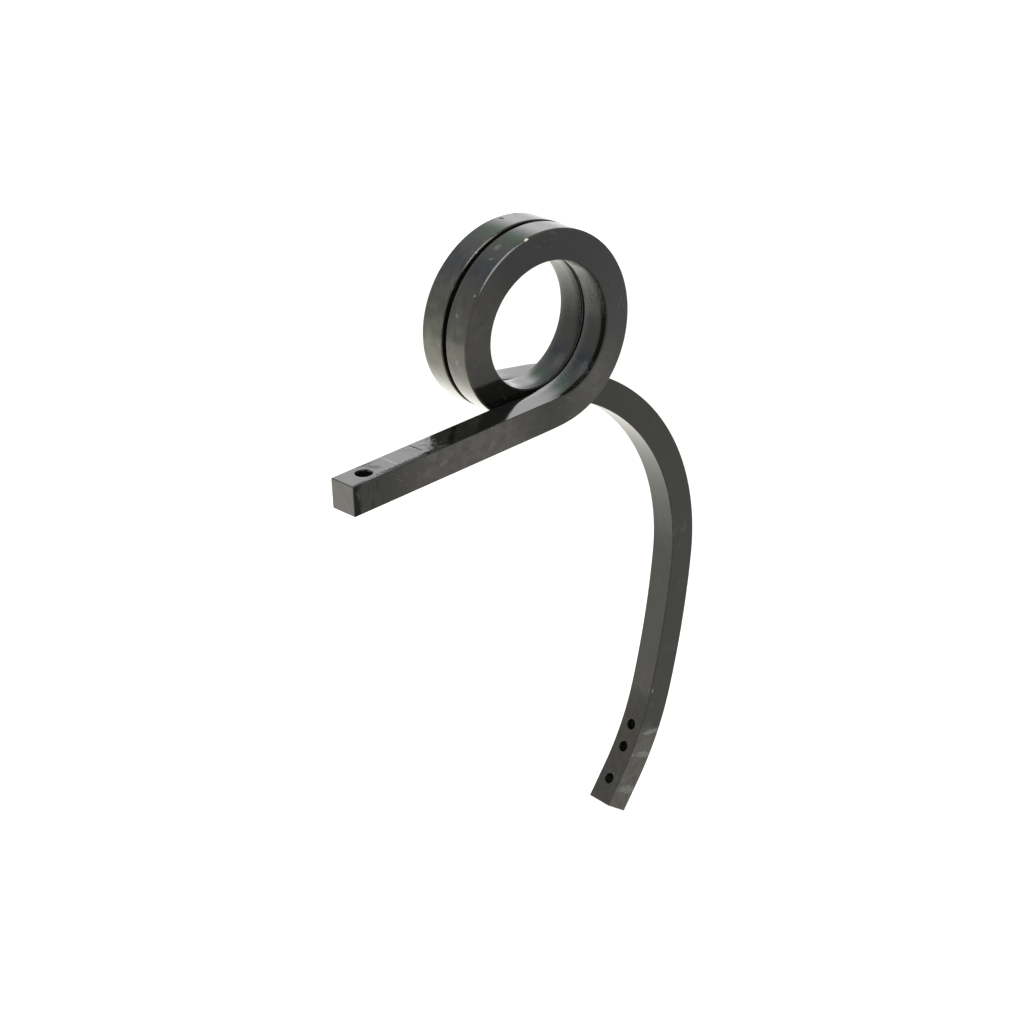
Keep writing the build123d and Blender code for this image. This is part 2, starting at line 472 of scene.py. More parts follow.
def drill_cutter(tree, mount, holes, bar_side):
    """Cutter for one hole: a round bar along the hole, flared where it leaves the steel."""
    margin = 0.004
    radius = mount["dims"]["r_mm"] / 1000.0
    index = first_of(tree, "GeometryNodeInputIndex")
    end = calc(tree, "MULTIPLY_ADD", calc(tree, "GREATER_THAN", index, 1.5), 2.0, -1.0)
    outer = calc(tree, "GREATER_THAN", calc(tree, "ABSOLUTE", minus(tree, index, 1.5)), 1.0)
    flare = times(tree, outer, holes.rim_break + margin)
    reach = total(tree, flare, calc(tree, "MULTIPLY_ADD", bar_side, 0.5, -holes.rim_break))
    offset = vector_calc(tree, "SCALE", tuple(mount["axis"]), times(tree, reach, end))
    place = vector_calc(tree, "ADD", offset, tuple(mount["pos_m"]))
    line = first_of(tree, "GeometryNodeMeshLine", {"Count": 4})
    line = first_of(tree, "GeometryNodeSetPosition", {"Geometry": line, "Position": place})
    path = first_of(tree, "GeometryNodeMeshToCurve", {"Mesh": line})
    width = total(tree, flare, radius)
    path = first_of(tree, "GeometryNodeSetCurveRadius", {"Curve": path, "Radius": width})
    round_ring = {"Resolution": holes.sides, "Radius": 1.0}
    ring = first_of(tree, "GeometryNodeCurvePrimitiveCircle", round_ring)
    sweep = {"Curve": path, "Profile Curve": ring, "Fill Caps": True}
    mesh = add_node(tree, "GeometryNodeCurveToMesh", sweep)
    if "Scale" in mesh.inputs:
        tree.links.new(first_of(tree, "GeometryNodeInputRadius"), mesh.inputs["Scale"])
    return mesh.outputs[0]


def swept_bar(tree, rules):
    """The bar swept along its centreline and shaped, and each point's own place in the unbent bar."""
    size = rules.size
    path, kept = bar_centreline(tree, rules)
    profile, outline = bar_profile(tree, rules)
    sweep = {"Curve": path, "Profile Curve": profile, "Fill Caps": True}
    swept = first_of(tree, "GeometryNodeCurveToMesh", sweep)
    section = {"Factor": kept["Winding"], 4: outline["Plain"], 5: outline["Wound"]}
    shaped = add_node(tree, "ShaderNodeMix", section, data_type="VECTOR").outputs[1]
    edges = {"Factor": outline["Far"], 2: kept["Winding"], 3: kept["Early"]}
    falling = first_of(tree, "ShaderNodeMix", edges, data_type="FLOAT")
    fall = vector_of(tree, 0.0, times(tree, outline["Fall"], falling), 0.0)
    shrink = calc(tree, "DIVIDE", kept["Inset"], times(tree, size["bar_side"], -0.5))
    corner = vector_calc(tree, "SUBTRACT", shaped, fall)
    corner = vector_calc(tree, "SCALE", corner, total(tree, shrink, 1.0))
    across, inward, _ = parts_of(tree, corner)
    aside = vector_calc(tree, "SCALE", kept["Sideways"], across)
    inwards = vector_calc(tree, "SCALE", kept["Inward"], inward)
    place = vector_calc(tree, "ADD", vector_calc(tree, "ADD", kept["Place"], aside), inwards)
    body = first_of(tree, "GeometryNodeSetPosition", {"Geometry": swept, "Position": place})
    unbent = vector_of(tree, kept["Travel"], across, inward)
    body, fields = capture(tree, body, {"Unbent": ("VECTOR", unbent)})
    return body, fields["Unbent"]


def drilled_bar(tree, body, unbent, holes, bar_side):
    """The bar with its holes cut, and with each point's place in the unbent bar stored for the paint."""
    drilled = add_node(tree, "GeometryNodeMeshBoolean", {"Mesh 1": body}, operation="DIFFERENCE",
                       solver="EXACT")
    for name in HOLES:
        tree.links.new(drill_cutter(tree, MOUNTS[name], holes, bar_side), drilled.inputs["Mesh 2"])
    here = first_of(tree, "GeometryNodeInputPosition")
    nearest = add_node(tree, "GeometryNodeSampleNearestSurface",
                       {"Mesh": body, "Value": unbent, "Sample Position": here}, data_type="FLOAT_VECTOR")
    return first_of(tree, "GeometryNodeStoreNamedAttribute",
                    {"Geometry": drilled.outputs[0], "Name": "bar_place", "Value": nearest.outputs["Value"]},
                    data_type="FLOAT_VECTOR", domain="POINT")


def smooth_but_ends(tree, geometry, bar_side):
    """Smooth shading on every face but the two flat ends."""
    area = first_of(tree, "GeometryNodeInputMeshFaceArea")
    rolled = calc(tree, "LESS_THAN", area, times(tree, bar_side, bar_side, 0.5))
    return first_of(tree, "GeometryNodeSetShadeSmooth", {0: geometry, "Shade Smooth": rolled})


def bar_tree(holes):
    """Node tree that sweeps the bar along its centreline, shapes its section and drills it."""
    tree = bpy.data.node_groups.new("Spring Tine Bar", "GeometryNodeTree")
    tree.interface.new_socket(name="Geometry", in_out="OUTPUT", socket_type="NodeSocketGeometry")
    names = list(BarSizes.__annotations__)
    for name in names:
        label = BarSizes.bl_rna.properties[name].name
        tree.interface.new_socket(name=label, in_out="INPUT", socket_type="NodeSocketFloat")
    tree.interface.new_socket(name="Material", in_out="INPUT", socket_type="NodeSocketMaterial")
    given, result = tree.nodes.new("NodeGroupInput"), tree.nodes.new("NodeGroupOutput")
    size = dict(zip(names, given.outputs))
    body, unbent = swept_bar(tree, BarRules(tree, size))
    drilled = drilled_bar(tree, body, unbent, holes, size["bar_side"])
    smooth = smooth_but_ends(tree, drilled, size["bar_side"])
    real = first_of(tree, "GeometryNodeRealizeInstances", {0: smooth})
    painted = add_node(tree, "GeometryNodeSetMaterial", {0: real, "Material": given.outputs["Material"]})
    tree.links.new(painted.outputs[0], result.inputs["Geometry"])
    return tree


def set_tree_inputs(modifier, sizes, material):
    """Give the modifier the sizes and the material, by each socket's identifier."""
    labels = BarSizes.bl_rna.properties
    values = {labels[name].name: getattr(sizes, name) for name in BarSizes.__annotations__}
    values["Material"] = material
    for item in modifier.node_group.interface.items_tree:
        if item.item_type == "SOCKET" and item.in_out == "INPUT":
            modifier[item.identifier] = values[item.name]


# ---- the paint ----

def rise(tree, value, start, end):
    """Smooth step from 0 at start to 1 at end; it falls when start lies beyond end."""
    node = add_node(tree, "ShaderNodeMapRange", {"Value": value, "From Min": start, "From Max": end},
                    interpolation_type="SMOOTHSTEP")
    return node.outputs["Result"]


def noise(tree, place, scale, detail=3.0, roughness=0.55):
    """Noise between 0 and 1 at a scale given in cells for each metre."""
    return first_of(tree, "ShaderNodeTexNoise",
                    {"Vector": place, "Scale": scale, "Detail": detail, "Roughness": roughness})


def blend(tree, amount, first, second):
    """Colour mixed from the first to the second, a plain colour, by an amount."""
    inputs = {0: amount, 6: first, 7: (*second, 1.0)}
    return add_node(tree, "ShaderNodeMix", inputs, data_type="RGBA").outputs[2]


FACE_MARGIN = 0.0004  # strip beside each long corner that belongs to neither face
WEAR_BAND = 0.0022  # width of the band along a long corner that wear and its painted highlight can reach
WEAR_CREST = 0.0001  # strip at the corner itself where wear and its painted highlight are full
SKIN_DEPTH = 0.0013  # a point this far below all four long faces lies on an end or in a hole
OUTER_SKIN = 0.0009  # strip beside the coil's outer face that its corner marks may cover

# Marks listed one by one: the middle's travel and across, half length, half width, lean in degrees,
# raggedness and strength. On the near face across runs from the outer face to the bore, on any other from
# near to far.
LIGHT_ON_BORE_SIDE = (
    (-0.1785, 0.001, 0.0013, 0.0125, 0.0, 0.3, 1.3),  # light line across the arm's top
    (0.078, -0.007, 0.012, 0.005, 8.0, 3.5, 0.2),  # smear in the first turn
    (0.578, -0.007, 0.011, 0.005, 8.0, 3.5, 0.2),  # smear in the second turn
    (-0.13, 0.004, 0.008, 0.0015, -40.0, 1.5, 0.5),  # scuff where the arm's film ends
)
LIGHT_ON_OUTSIDE = (
    (0.3175, 0.003, 0.0035, 0.0032, 30.0, 3.2, 0.3),
    (0.329, -0.0025, 0.0026, 0.0008, 60.0, 1.6, 0.45),
    (0.4185, -0.0015, 0.0034, 0.0014, 25.0, 1.4, 0.5),
    (0.3605, -0.0105, 0.001, 0.001, 0.0, 0.8, 0.9),
    (0.3805, 0.003, 0.0012, 0.002, 20.0, 1.0, 0.4),
    (0.285, 0.0138, 0.02, 0.0009, 0.0, 2.4, 0.6),
)
# Painted highlights: light lines along the coil's rounded outer corner, where it catches light.
LIGHT_ON_OUTER_CORNER = (
    (0.3305, -0.0146, 0.03, 0.0013, 0.0, 0.8, 1.8),
    (0.825, -0.0144, 0.022, 0.0012, 0.0, 1.0, 1.6),
)
LIGHT_ON_NEAR_SIDE = (
    (-0.066, -0.003, 0.005, 0.002, 40.0, 4.0, 0.16),
    (-0.128, 0.0, 0.005, 0.0009, 20.0, 1.2, 0.25),
    (1.6265, 0.004, 0.003, 0.012, 14.0, 2.6, 0.5),  # streaks at the toe
    (1.6535, 0.004, 0.0036, 0.012, 12.0, 2.8, 0.42),
    (1.6955, 0.003, 0.0045, 0.012, 10.0, 2.8, 0.36),
    (1.578, -0.0125, 0.0022, 0.0012, 0.0, 1.4, 0.7),  # worn spots on the leg's front corner
    (1.657, -0.0125, 0.0016, 0.0012, 0.0, 1.4, 0.6),
)
DARK_ON_BORE_SIDE = (
    (-0.1435, 0.0045, 0.0009, 0.0105, 4.0, 0.9, 1.0),  # crack across the arm's top
    (-0.136, -0.0118, 0.013, 0.003, 0.0, 3.0, 1.0),  # torn edge of the arm's film
    (-0.17, -0.0127, 0.036, 0.0028, 0.0, 3.0, 1.0),
    (-0.2265, -0.0136, 0.01, 0.0016, 0.0, 2.0, 0.8),
    (-0.1965, 0.003, 0.0035, 0.008, 28.0, 1.6, 0.5),  # dark patches beside the bolt hole
    (-0.2, 0.012, 0.011, 0.0016, -8.0, 2.2, 0.6),
)
DARK_ON_OUTSIDE = (
    (0.787, 0.0072, 0.0028, 0.0013, 62.0, 0.5, 1.3),
    (0.7715, 0.0105, 0.0028, 0.0011, 60.0, 0.7, 1.0),
)
CHIPS_ON_OUTER_CORNER = (
    (0.2992, -0.0146, 0.0021, 0.0019, 0.0, 0.7, 1.0),
    (0.8283, -0.0144, 0.0009, 0.0009, 0.0, 0.4, 0.8),
)

# How much each mask adds to the roughness.
ROUGHENING = {"cloud": 0.05, "film": 0.06, "cream": 0.08, "smears": 0.14, "light_marks": 0.2,
              "dark_marks": 0.35, "worn": 0.15, "chip": 0.5, "pits": 0.25, "end": 0.1}


def paint_group(name, inputs, outputs=("Share",)):
    """Empty group of the paint's own tree."""
    return new_group(name, inputs, outputs, "ShaderNodeTree")


def faces_group(half):
    """Which long face of the bar a point lies on, and how close it is to a long corner."""
    tree, given, result = paint_group("Bar Faces", ("*Place",), ("Near", "Bore Side", "Outside", "Corner"))
    _, across, height = parts_of(tree, given.outputs[0])
    wide, deep = calc(tree, "ABSOLUTE", across), calc(tree, "ABSOLUTE", height)
    near = calc(tree, "GREATER_THAN", calc(tree, "MULTIPLY_ADD", across, -1.0, -FACE_MARGIN), deep)
    bore_side = calc(tree, "GREATER_THAN", minus(tree, height, FACE_MARGIN), wide)
    outside = calc(tree, "GREATER_THAN", calc(tree, "MULTIPLY_ADD", height, -1.0, -FACE_MARGIN), wide)
    corner = rise(tree, calc(tree, "MINIMUM", wide, deep), half - WEAR_BAND, half - WEAR_CREST)
    on_skin = calc(tree, "GREATER_THAN", calc(tree, "MAXIMUM", wide, deep), half - SKIN_DEPTH)
    for value, socket in zip((near, bore_side, outside, corner), result.inputs):
        tree.links.new(times(tree, value, on_skin), socket)
    return tree


def stretch_group():
    """Soft-ended stretch of the bar from Start to End."""
    tree, given, result = paint_group("Stretch", ("Travel", "Start", "End", "Softness"))
    travel, start, end, softness = given.outputs[:4]
    into = rise(tree, travel, minus(tree, start, softness), total(tree, start, softness))
    out = rise(tree, travel, total(tree, end, softness), minus(tree, end, softness))
    tree.links.new(times(tree, into, out), result.inputs[0])
    return tree


def lean_axes(tree, x, y, lean):
    """Two components turned by a lean: along it and aside of it."""
    sine, cosine = calc(tree, "SINE", lean), calc(tree, "COSINE", lean)
    along = total(tree, times(tree, x, cosine), times(tree, y, sine))
    return along, minus(tree, times(tree, y, cosine), times(tree, x, sine))


def mark_group():
    """One small uneven mark with a soft rim: its middle, half its length and width, and its lean."""
    inputs = ("*Place", "Travel", "Across", "Long", "Wide", "Lean", "Ragged")
    tree, given, result = paint_group("Mark", inputs)
    place, travel, across, long_half, wide_half, lean, ragged = given.outputs[:7]
    x, y, _ = parts_of(tree, place)
    along, aside = lean_axes(tree, minus(tree, x, travel), minus(tree, y, across), lean)
    along, aside = calc(tree, "DIVIDE", along, long_half), calc(tree, "DIVIDE", aside, wide_half)
    reach = calc(tree, "SQRT", total(tree, times(tree, along, along), times(tree, aside, aside)))
    uneven = times(tree, minus(tree, noise(tree, place, 700.0), 0.5), ragged)
    tree.links.new(rise(tree, total(tree, reach, uneven), 1.25, 0.6), result.inputs[0])
    return tree


def scuff_group():
    """Fine leaning scratches and smears; a higher Amount shows more of them."""
    tree, given, result = paint_group("Scuffs", ("*Place", "Lean", "Fine", "Amount"))
    place, lean, fine, amount = given.outputs[:4]
    travel, across, height = parts_of(tree, place)
    along, aside = lean_axes(tree, travel, total(tree, across, height), lean)
    drawn = vector_of(tree, times(tree, along, fine, 0.12), times(tree, aside, fine), 3.7)
    lines = noise(tree, drawn, 1.0, 4.0, 0.6)
    where = times(tree, minus(tree, noise(tree, place, 38.0, 2.0), 0.5), 0.55)
    level = minus(tree, 0.86, times(tree, amount, 0.3))
    shown = rise(tree, total(tree, lines, where), level, total(tree, level, 0.12))
    tree.links.new(shown, result.inputs[0])
    return tree


def speck_group():
    """Sparse small round specks."""
    tree, given, result = paint_group("Specks", ("*Place", "Scale", "Size", "Share Shown"))
    place, scale, size, shown = given.outputs[:4]
    cells = add_node(tree, "ShaderNodeTexVoronoi", {"Vector": place, "Scale": scale})
    chance = first_of(tree, "ShaderNodeSeparateColor", {0: cells.outputs["Color"]})
    picked = calc(tree, "LESS_THAN", chance, shown)
    dot = rise(tree, cells.outputs["Distance"], size, times(tree, size, 0.5))
    tree.links.new(times(tree, picked, dot), result.inputs[0])
    return tree


class PaintRules:
    """Places and faces that the masks of the paint are worked out from."""

    def __init__(self, tree, look, bar):
        """Read the stored place in the unbent bar, and find the faces and the slow cloud over them."""
        self.tree, self.look = tree, look
        half = bar.bar_side / 2.0
        self.arm_end = -bar.arm_length
        self.bolt_place = bar.hole_from_end - bar.arm_length
        self.place = add_node(tree, "ShaderNodeAttribute", attribute_name="bar_place").outputs["Vector"]
        self.travel, self.across, self.height = parts_of(tree, self.place)
        faces = add_node(tree, "ShaderNodeGroup", {0: self.place}, node_tree=faces_group(half))
        self.near, self.bore_side, self.outside, self.corner = faces.outputs
        self.outer_corner = calc(tree, "LESS_THAN", self.height, OUTER_SKIN - half)
        self.near_place = vector_of(tree, self.travel, self.height, self.across)
        self.cloud = noise(tree, self.place, 60.0, 4.0, 0.6)
        self.uneven = calc(tree, "MULTIPLY_ADD", minus(tree, self.cloud, 0.5), 0.03, self.travel)
        self.groups = {"stretch": stretch_group(), "mark": mark_group(), "scuff": scuff_group(),
                       "speck": speck_group()}

    def use(self, name, *values):
        """Output of one of the paint's own groups."""
        return use_group(self.tree, self.groups[name], *values)

    def over(self, face, *stretches):
        """Film on one face, over stretches given as start, end, softness and strength."""
        parts = [times(self.tree, self.use("stretch", self.uneven, start, end, soft), strength)
                 for start, end, soft, strength in stretches]
        return times(self.tree, total(self.tree, *parts), face)

    def marks(self, face, places):
        """Marks on one face, laid out as in the lists of marks above."""
        spot = self.near_place if face == self.near else self.place
        parts = []
        for x, y, long_half, wide_half, lean, ragged, strength in places:
            shown = self.use("mark", spot, x, y, long_half, wide_half, radians(lean), ragged)
            parts.append(times(self.tree, shown, strength))
        return times(self.tree, total(self.tree, *parts), face)


def film_masks(rules):
    """Thin dull film, a lighter warm colour over stretches of the coil's outside, and the ridged end of the
    arm's film.
    """
    film = total(
        rules.tree,
        rules.over(rules.near, (-0.165, -0.02, 0.035, 0.9), (0.05, 0.11, 0.03, 0.55),
                   (0.35, 0.43, 0.02, 0.35), (1.625, 1.8, 0.012, 0.95)),
        rules.over(rules.outside, (0.25, 0.4, 0.02, 0.3), (0.76, 0.88, 0.03, 0.45), (1.57, 1.8, 0.04, 0.35)),
        rules.over(rules.bore_side, (-0.3, -0.128, 0.012, 0.4), (0.545, 0.61, 0.03, 0.3)),
    )
    # Lighter warm colour over two stretches of the coil's outside.
    cream = rules.over(rules.outside, (0.395, 0.52, 0.03, 0.7), (0.885, 1.02, 0.03, 1.0))
    dried = times(rules.tree, rules.use("stretch", rules.travel, -0.152, -0.112, 0.008), rules.bore_side)
    return {"film": film, "cream": cream, "dried": dried}


def smear_masks(rules):
    """Fine leaning smears all over, and closer ones in the bore where the first turn begins."""
    tree = rules.tree
    smears = times(tree, rules.use("scuff", rules.place, radians(-32.0), 620.0, rules.look.scuffs), 0.22)
    in_bore = times(tree, rules.use("scuff", rules.place, radians(52.0), 560.0, 0.95), rules.bore_side,
                    rules.use("stretch", rules.travel, 0.04, 0.095, 0.012), 0.22)
    return {"smears": total(tree, smears, in_bore)}


def bolt_rim(rules):
    """Painted highlight: a broken light ring round the arm's bolt hole, where its broken rim catches light.
    """
    tree = rules.tree
    radius = MOUNTS["arm_bolt"]["dims"]["r_mm"] / 1000.0
    bolt = vector_of(tree, minus(tree, rules.travel, rules.bolt_place), rules.across, 0.0)
    from_bolt = vector_calc(tree, "LENGTH", bolt)
    ring = times(tree, rise(tree, from_bolt, radius + 0.0019, radius + 0.0008),
                 rise(tree, from_bolt, radius + 0.0001, radius + 0.0006))
    return times(tree, ring, rise(tree, noise(tree, rules.place, 160.0), 0.42, 0.6), rules.bore_side, 0.7)


def mark_masks(rules):
    """Every listed light mark, dark mark and chip."""
    # Light marks; those along the outer corner and round the bolt hole are painted highlights.
    light = total(rules.tree, rules.marks(rules.bore_side, LIGHT_ON_BORE_SIDE),
                  rules.marks(rules.outside, LIGHT_ON_OUTSIDE),
                  rules.marks(rules.outer_corner, LIGHT_ON_OUTER_CORNER),
                  rules.marks(rules.near, LIGHT_ON_NEAR_SIDE), bolt_rim(rules))
    dark = total(rules.tree, rules.marks(rules.bore_side, DARK_ON_BORE_SIDE),
                 rules.marks(rules.outside, DARK_ON_OUTSIDE))
    return {"light_marks": light, "dark_marks": dark,
            "chip": rules.marks(rules.outer_corner, CHIPS_ON_OUTER_CORNER)}


def speck_masks(rules):
    """Specks along the corners, fine dust all over, and pits where the bore is coarse."""
    tree = rules.tree
    specks = times(tree, rules.use("speck", rules.place, 260.0, 0.16, times(tree, rules.corner, 0.14)), 0.9)
    dusty = times(tree, rules.cloud, rules.cloud, 0.05 * rules.look.specks)
    dust = rules.use("speck", rules.place, 480.0, 0.2, dusty)
    coarse = times(tree, total(tree, rules.use("stretch", rules.travel, 0.15, 0.215, 0.02),
                               rules.use("stretch", rules.travel, 0.63, 0.71, 0.03)), rules.bore_side)
    pits = rules.use("speck", rules.place, 520.0, 0.24, times(tree, coarse, 0.16))
    return {"specks": calc(tree, "MAXIMUM", specks, dust), "coarse": coarse, "pits": pits}


def end_masks(rules):
    """Soot and drips at the arm's end, and its smeared sawn face."""
    tree, place = rules.tree, rules.place
    soot_start = rules.arm_end + rules.look.soot_length
    soot = times(tree, rise(tree, rules.uneven, soot_start, soot_start - 0.004), rules.near)
    drips = noise(tree, vector_calc(tree, "MULTIPLY", place, (330.0, 330.0, 45.0)), 1.0, 3.0)
    dripped = rules.use("stretch", rules.travel, rules.arm_end - 0.013, rules.arm_end + 0.037, 0.012)
    drips = times(tree, rise(tree, drips, 0.5, 0.66), dripped, rules.near, 0.45)
    leaning = first_of(tree, "ShaderNodeVectorRotate", {"Vector": place, "Angle": radians(40.0)},
                       rotation_type="X_AXIS")
    strokes = noise(tree, vector_calc(tree, "MULTIPLY", leaning, (1.0, 300.0, 70.0)), 1.0, 4.0, 0.65)
    sawn = times(tree, rise(tree, rules.travel, rules.arm_end + 0.0012, rules.arm_end + 0.0004),
                 calc(tree, "MULTIPLY_ADD", strokes, 1.2, 0.2))
    return {"end": calc(tree, "MAXIMUM", soot, drips), "sawn": sawn}


def paint_masks(rules):
    """Every mask of the paint by its name."""
    tree = rules.tree
    worn_spots = rise(tree, noise(tree, rules.place, 130.0, 3.0, 0.7), 0.56, 0.76)
    mottle = rise(tree, noise(tree, rules.place, 110.0, 4.0, 0.62), 0.3, 0.75)
    masks = {"cloud": rules.cloud, "mottle": mottle, "corner": rules.corner,
             # Worn corners, which also carry a painted highlight along them.
             "worn": times(tree, rules.corner, worn_spots, rules.look.wear)}
    for build in (film_masks, smear_masks, mark_masks, speck_masks, end_masks):
        masks.update(build(rules))
    return masks


def paint_colour(tree, masks, look):
    """Colour of the enamel with everything that lies on it or shows through it, and the painted highlights,
    from the bottom up.
    """
    patchy = calc(tree, "MULTIPLY_ADD", masks["mottle"], 0.8, 0.55)
    darker, lighter = (tuple(factor * value for value in look.enamel) for factor in (0.6, 1.4))
    tone = blend(tree, masks["cloud"], (*darker, 1.0), lighter)
    for amount, layer in (
        (times(tree, masks["film"], patchy), look.film),
        (times(tree, masks["cream"], patchy), look.warm_film),
        (times(tree, masks["smears"], 0.5), look.scuff),
        # Light marks and painted highlights, in the scuff colour.
        (times(tree, masks["light_marks"], 0.8), look.scuff),
        (total(tree, masks["dark_marks"], masks["end"]), look.soot),
        (times(tree, masks["sawn"], 0.5), look.sawn_end),
        # Worn corners, partly a painted highlight along them.
        (times(tree, masks["worn"], 0.6), look.worn_steel),
        (times(tree, masks["specks"], 0.9), look.speck),
        (masks["chip"], look.primer),
    ):
        tone = blend(tree, amount, tone, layer)
    return tone


def paint_height(rules, masks):
    """Height of the paint: orange peel, waves, coarse bore, ridges of dried film, corners and marks."""
    tree, place = rules.tree, rules.place
    return total(
        tree,
        times(tree, noise(tree, place, 420.0, 2.0), 0.05),
        times(tree, noise(tree, place, 75.0, 2.0), 0.22),
        times(tree, noise(tree, place, 480.0, 3.0, 0.65), masks["coarse"], 11.0),
        times(tree, noise(tree, place, 190.0), masks["dried"], 5.0),
        times(tree, noise(tree, place, 650.0, 2.0), masks["corner"], 1.3),
        times(tree, masks["light_marks"], 0.8),
        times(tree, masks["dark_marks"], -1.2),
        times(tree, masks["specks"], 0.7),
        times(tree, masks["pits"], -3.0),
    )


def paint_material(look, bar):
    """Black enamel: glossy, with a thin dull film in places, a lighter warm colour on the coil's outside,
    worn corners, scuffs, painted highlights along the corners and round the bolt hole, specks, pits and
    chips.
    """
    material = bpy.data.materials.new("black_enamel")
    material.use_nodes = True
    tree = material.node_tree
    shader = tree.nodes["Principled BSDF"]
    shader.inputs["IOR"].default_value = look.gloss_ior
    rules = PaintRules(tree, look, bar)
    masks = paint_masks(rules)
    rough = [times(tree, masks[name], amount) for name, amount in ROUGHENING.items()]
    rough = calc(tree, "MINIMUM", total(tree, look.gloss_roughness, *rough), 0.9)
    # Metallic over a near-black colour only takes the clear reflection away under soot and dark marks.
    under_soot = times(tree, masks["end"], 0.75)
    dulled = calc(tree, "ADD", times(tree, masks["dark_marks"], 0.6), under_soot, clamp=True)
    bump = first_of(tree, "ShaderNodeBump", {"Height": paint_height(rules, masks), "Strength": 1.0,
                                             "Distance": look.relief})
    for value, name in ((paint_colour(tree, masks, look), "Base Color"), (rough, "Roughness"),
                        (dulled, "Metallic"), (bump, "Normal")):
        tree.links.new(value, shader.inputs[name])
    return material


def plain_mesh(source, name):
    """Evaluated shape of an object as a plain mesh object, the source removed."""
    bpy.context.view_layer.update()
    depsgraph = bpy.context.evaluated_depsgraph_get()
    mesh = bpy.data.meshes.new_from_object(source.evaluated_get(depsgraph), preserve_all_data_layers=True,
                                           depsgraph=depsgraph)
    mesh.name = name
    piece = bpy.data.objects.new(name, mesh)
    bpy.context.scene.collection.objects.link(piece)
    bpy.data.objects.remove(source)
    return piece


class TINE_OT_bar(bpy.types.Operator):
    """Sweep, shape and drill the bar"""

    bl_idname = "tine.bar"
    bl_label = "Build Bar"

    def execute(self, context):
        """Build the bar's node tree, turn its result into a mesh and put it in the frame."""
        scene = context.scene
        source = bpy.data.objects.new("bar_source", bpy.data.meshes.new("bar_source"))
        scene.collection.objects.link(source)
        modifier = source.modifiers.new("Bar", "NODES")
        modifier.node_group = bar_tree(scene.tine_holes)
        set_tree_inputs(modifier, scene.tine_bar, paint_material(scene.tine_paint, scene.tine_bar))
        normals = source.modifiers.new("Flat Sides", "WEIGHTED_NORMAL")
        normals.keep_sharp = True
        piece = plain_mesh(source, "tine_bar")
        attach(piece, "root")
        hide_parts(NODE)
        return {"FINISHED"}


class TINE_OT_studio(bpy.types.Operator):
    """Set up the floor, the lights and the camera"""

    bl_idname = "tine.studio"
    bl_label = "Build Studio"

    def execute(self, context):
        """Build the stage round the tine."""
        studio = context.scene.tine_studio
        build_floor(studio)
        build_surround(studio)
        build_top_lamp(studio)
        build_camera(studio)
        context.scene.view_settings.view_transform = "Standard"
        return {"FINISHED"}


def build_floor(studio):
    """Wide pale floor below the tine, with two pools of light given off by its own material."""
    level = CAD_BOX[0][2] - studio.floor_drop
    reach = studio.floor_reach
    mesh = bpy.data.meshes.new("floor")
    corners = [(x, y, level) for x, y in ((-reach, -reach), (reach, -reach), (reach, reach), (-reach, reach))]
    mesh.from_pydata(corners, [], [(0, 1, 2, 3)])
    material = bpy.data.materials.new("pale_floor")
    material.use_nodes = True
    tree = material.node_tree
    shader = tree.nodes["Principled BSDF"]
    shader.inputs["Base Color"].default_value = (*studio.floor_colour, 1.0)
    shader.inputs["Roughness"].default_value = 0.9
    shader.inputs["Emission Strength"].default_value = 1.0
    wide = light_pool(tree, (-0.85, 0.95, level), 0.85, studio.wide_pool, studio.wide_tint)
    small = light_pool(tree, (0.32, 0.68, level), 0.38, studio.small_pool, studio.small_tint)
    tree.links.new(vector_calc(tree, "ADD", wide, small), shader.inputs["Emission Color"])
    mesh.materials.append(material)
    floor = bpy.data.objects.new("floor", mesh)
    bpy.context.scene.collection.objects.link(floor)


def light_pool(tree, centre, radius, strength, tint):
    """Soft round pool of light on the floor."""
    here = tree.nodes.new("ShaderNodeTexCoord").outputs["Object"]
    away = vector_calc(tree, "LENGTH", vector_calc(tree, "SUBTRACT", here, centre))
    reach = calc(tree, "DIVIDE", away, radius)
    glow = calc(tree, "EXPONENT", times(tree, reach, reach, -1.0))
    return vector_calc(tree, "SCALE", tuple(tint), times(tree, glow, strength))


def direction(azimuth, elevation):
    """Unit vector of a direction: azimuth turned from +Y towards +X, elevation above the floor."""
    return Vector((sin(azimuth) * cos(elevation), cos(azimuth) * cos(elevation), sin(elevation)))


def soft_glow(tree, ray, azimuth, elevation, sharpness, tint):
    """Soft round light added to the surround in one direction, in degrees; a shade has a negative tint."""
    facing = vector_calc(tree, "DOT_PRODUCT", ray, tuple(direction(radians(azimuth), radians(elevation))))
    glow = calc(tree, "POWER", calc(tree, "MAXIMUM", facing, 0.0), sharpness)
    return vector_calc(tree, "SCALE", tint, glow)


def build_surround(studio):
    """White surround: a bright glow behind, a faint one low behind, a yellow tint and two tinted shades."""
    world = bpy.data.worlds.new("Studio")
    world.use_nodes = True
    tree = world.node_tree
    ray = tree.nodes.new("ShaderNodeTexCoord").outputs["Generated"]
    light = vector_of(tree, studio.surround, studio.surround, studio.surround)
    for azimuth, elevation, sharpness, tint in (
        (38.0, 23.0, 60.0, (studio.back_glow,) * 3),
        (43.0, 2.0, 12.0, (studio.low_glow,) * 3),
        (-54.0, 10.0, 45.0, (0.03, -0.03, -0.2)),
        (26.0, 40.0, 40.0, (-0.34, -0.04, -0.22)),
        (-24.0, 41.0, 34.0, (-0.5, -0.42, -0.24)),
    ):
        light = vector_calc(tree, "ADD", light, soft_glow(tree, ray, azimuth, elevation, sharpness, tint))
    tree.links.new(light, tree.nodes["Background"].inputs["Color"])
    bpy.context.scene.world = world


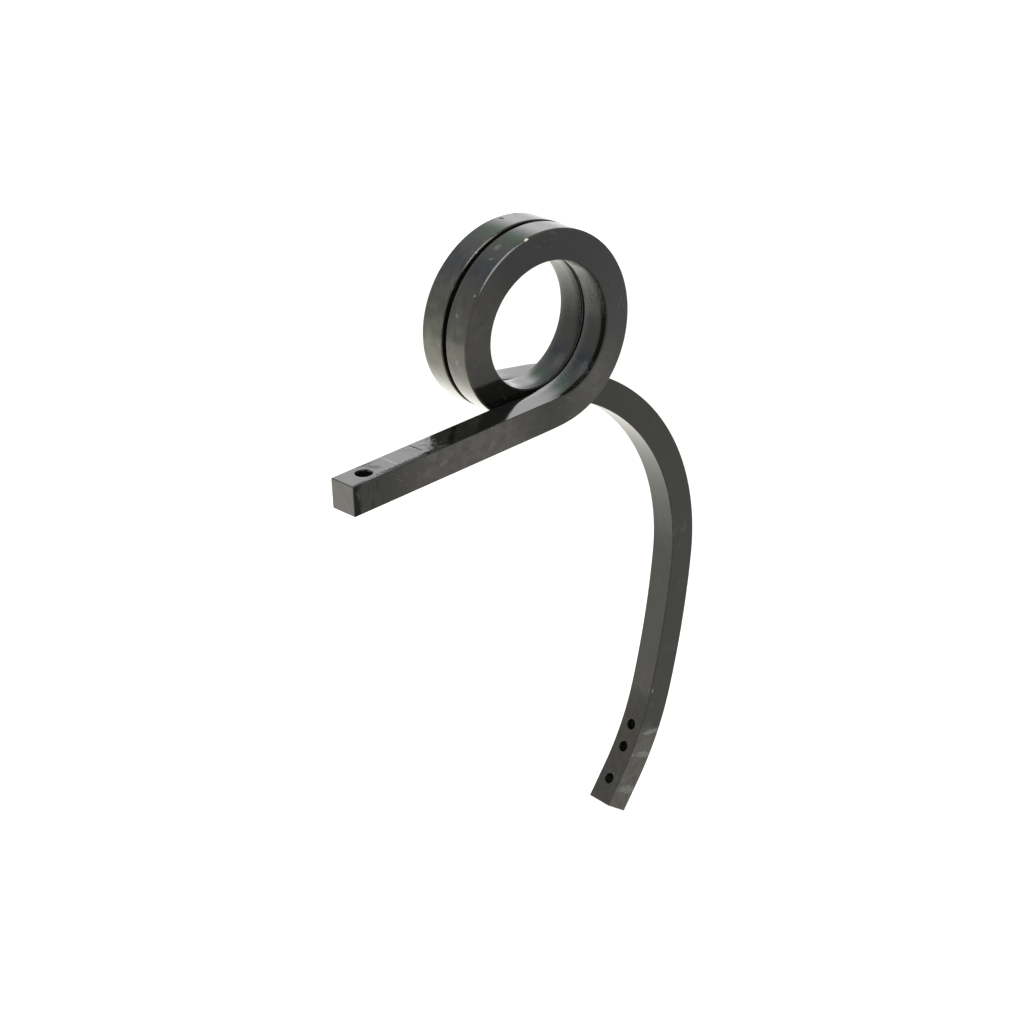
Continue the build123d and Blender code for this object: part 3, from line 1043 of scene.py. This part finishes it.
def build_top_lamp(studio):
    """Large lamp above the free end, turned to the tine, which the camera and reflections don't see."""
    data = bpy.data.lights.new("top_lamp", "AREA")
    data.shape = "DISK"
    data.size = studio.top_lamp_size
    data.energy = studio.top_lamp
    lamp = bpy.data.objects.new("top_lamp", data)
    lamp.location = (-0.7, -0.9, 1.5)
    lamp.rotation_euler = Vector((-0.85, -0.9, 1.6)).to_track_quat("Z", "Y").to_euler()
    lamp.visible_camera = False
    lamp.visible_glossy = False
    bpy.context.scene.collection.objects.link(lamp)


def build_camera(studio):
    """Camera looking down on the tine from beside its free end."""
    look = direction(studio.azimuth, -studio.elevation)
    right = Vector((cos(studio.azimuth), -sin(studio.azimuth), 0.0))
    up = right.cross(look)
    turned = right * cos(studio.roll) + up * sin(studio.roll)
    upward = up * cos(studio.roll) - right * sin(studio.roll)
    place = Vector(studio.aim) - look * studio.distance
    data = bpy.data.cameras.new("camera")
    data.lens = studio.lens
    data.sensor_width = 36.0
    data.clip_end = 200.0
    camera = bpy.data.objects.new("camera", data)
    turn = Matrix((turned, upward, -look)).transposed()
    camera.matrix_world = Matrix.Translation(place) @ turn.to_4x4()
    bpy.context.scene.collection.objects.link(camera)
    bpy.context.scene.camera = camera


class TINE_PT_panel(bpy.types.Panel):
    """Sizes and steps of the spring tine."""

    bl_label = "Spring Tine"
    bl_idname = "TINE_PT_panel"
    bl_space_type = "VIEW_3D"
    bl_region_type = "UI"
    bl_category = "Tine"

    def draw(self, context):
        """List every size and step."""
        for pointer, group in GROUPS.items():
            box = self.layout.box()
            for name in group.__annotations__:
                box.prop(getattr(context.scene, pointer), name)
        for operator in (TINE_OT_bar, TINE_OT_studio):
            self.layout.operator(operator.bl_idname)


CLASSES = (*GROUPS.values(), TINE_OT_bar, TINE_OT_studio, TINE_PT_panel)


def register():
    """Register the classes and hang the sizes on the scene."""
    for item in CLASSES:
        bpy.utils.register_class(item)
    for pointer, group in GROUPS.items():
        setattr(bpy.types.Scene, pointer, PointerProperty(type=group))


def unregister():
    """Take back what register did."""
    for pointer in GROUPS:
        delattr(bpy.types.Scene, pointer)
    for item in reversed(CLASSES):
        bpy.utils.unregister_class(item)


def main():
    """Build the tine and its studio."""
    register()
    bpy.ops.tine.bar()
    bpy.ops.tine.studio()


if __name__ == "__main__":
    main()
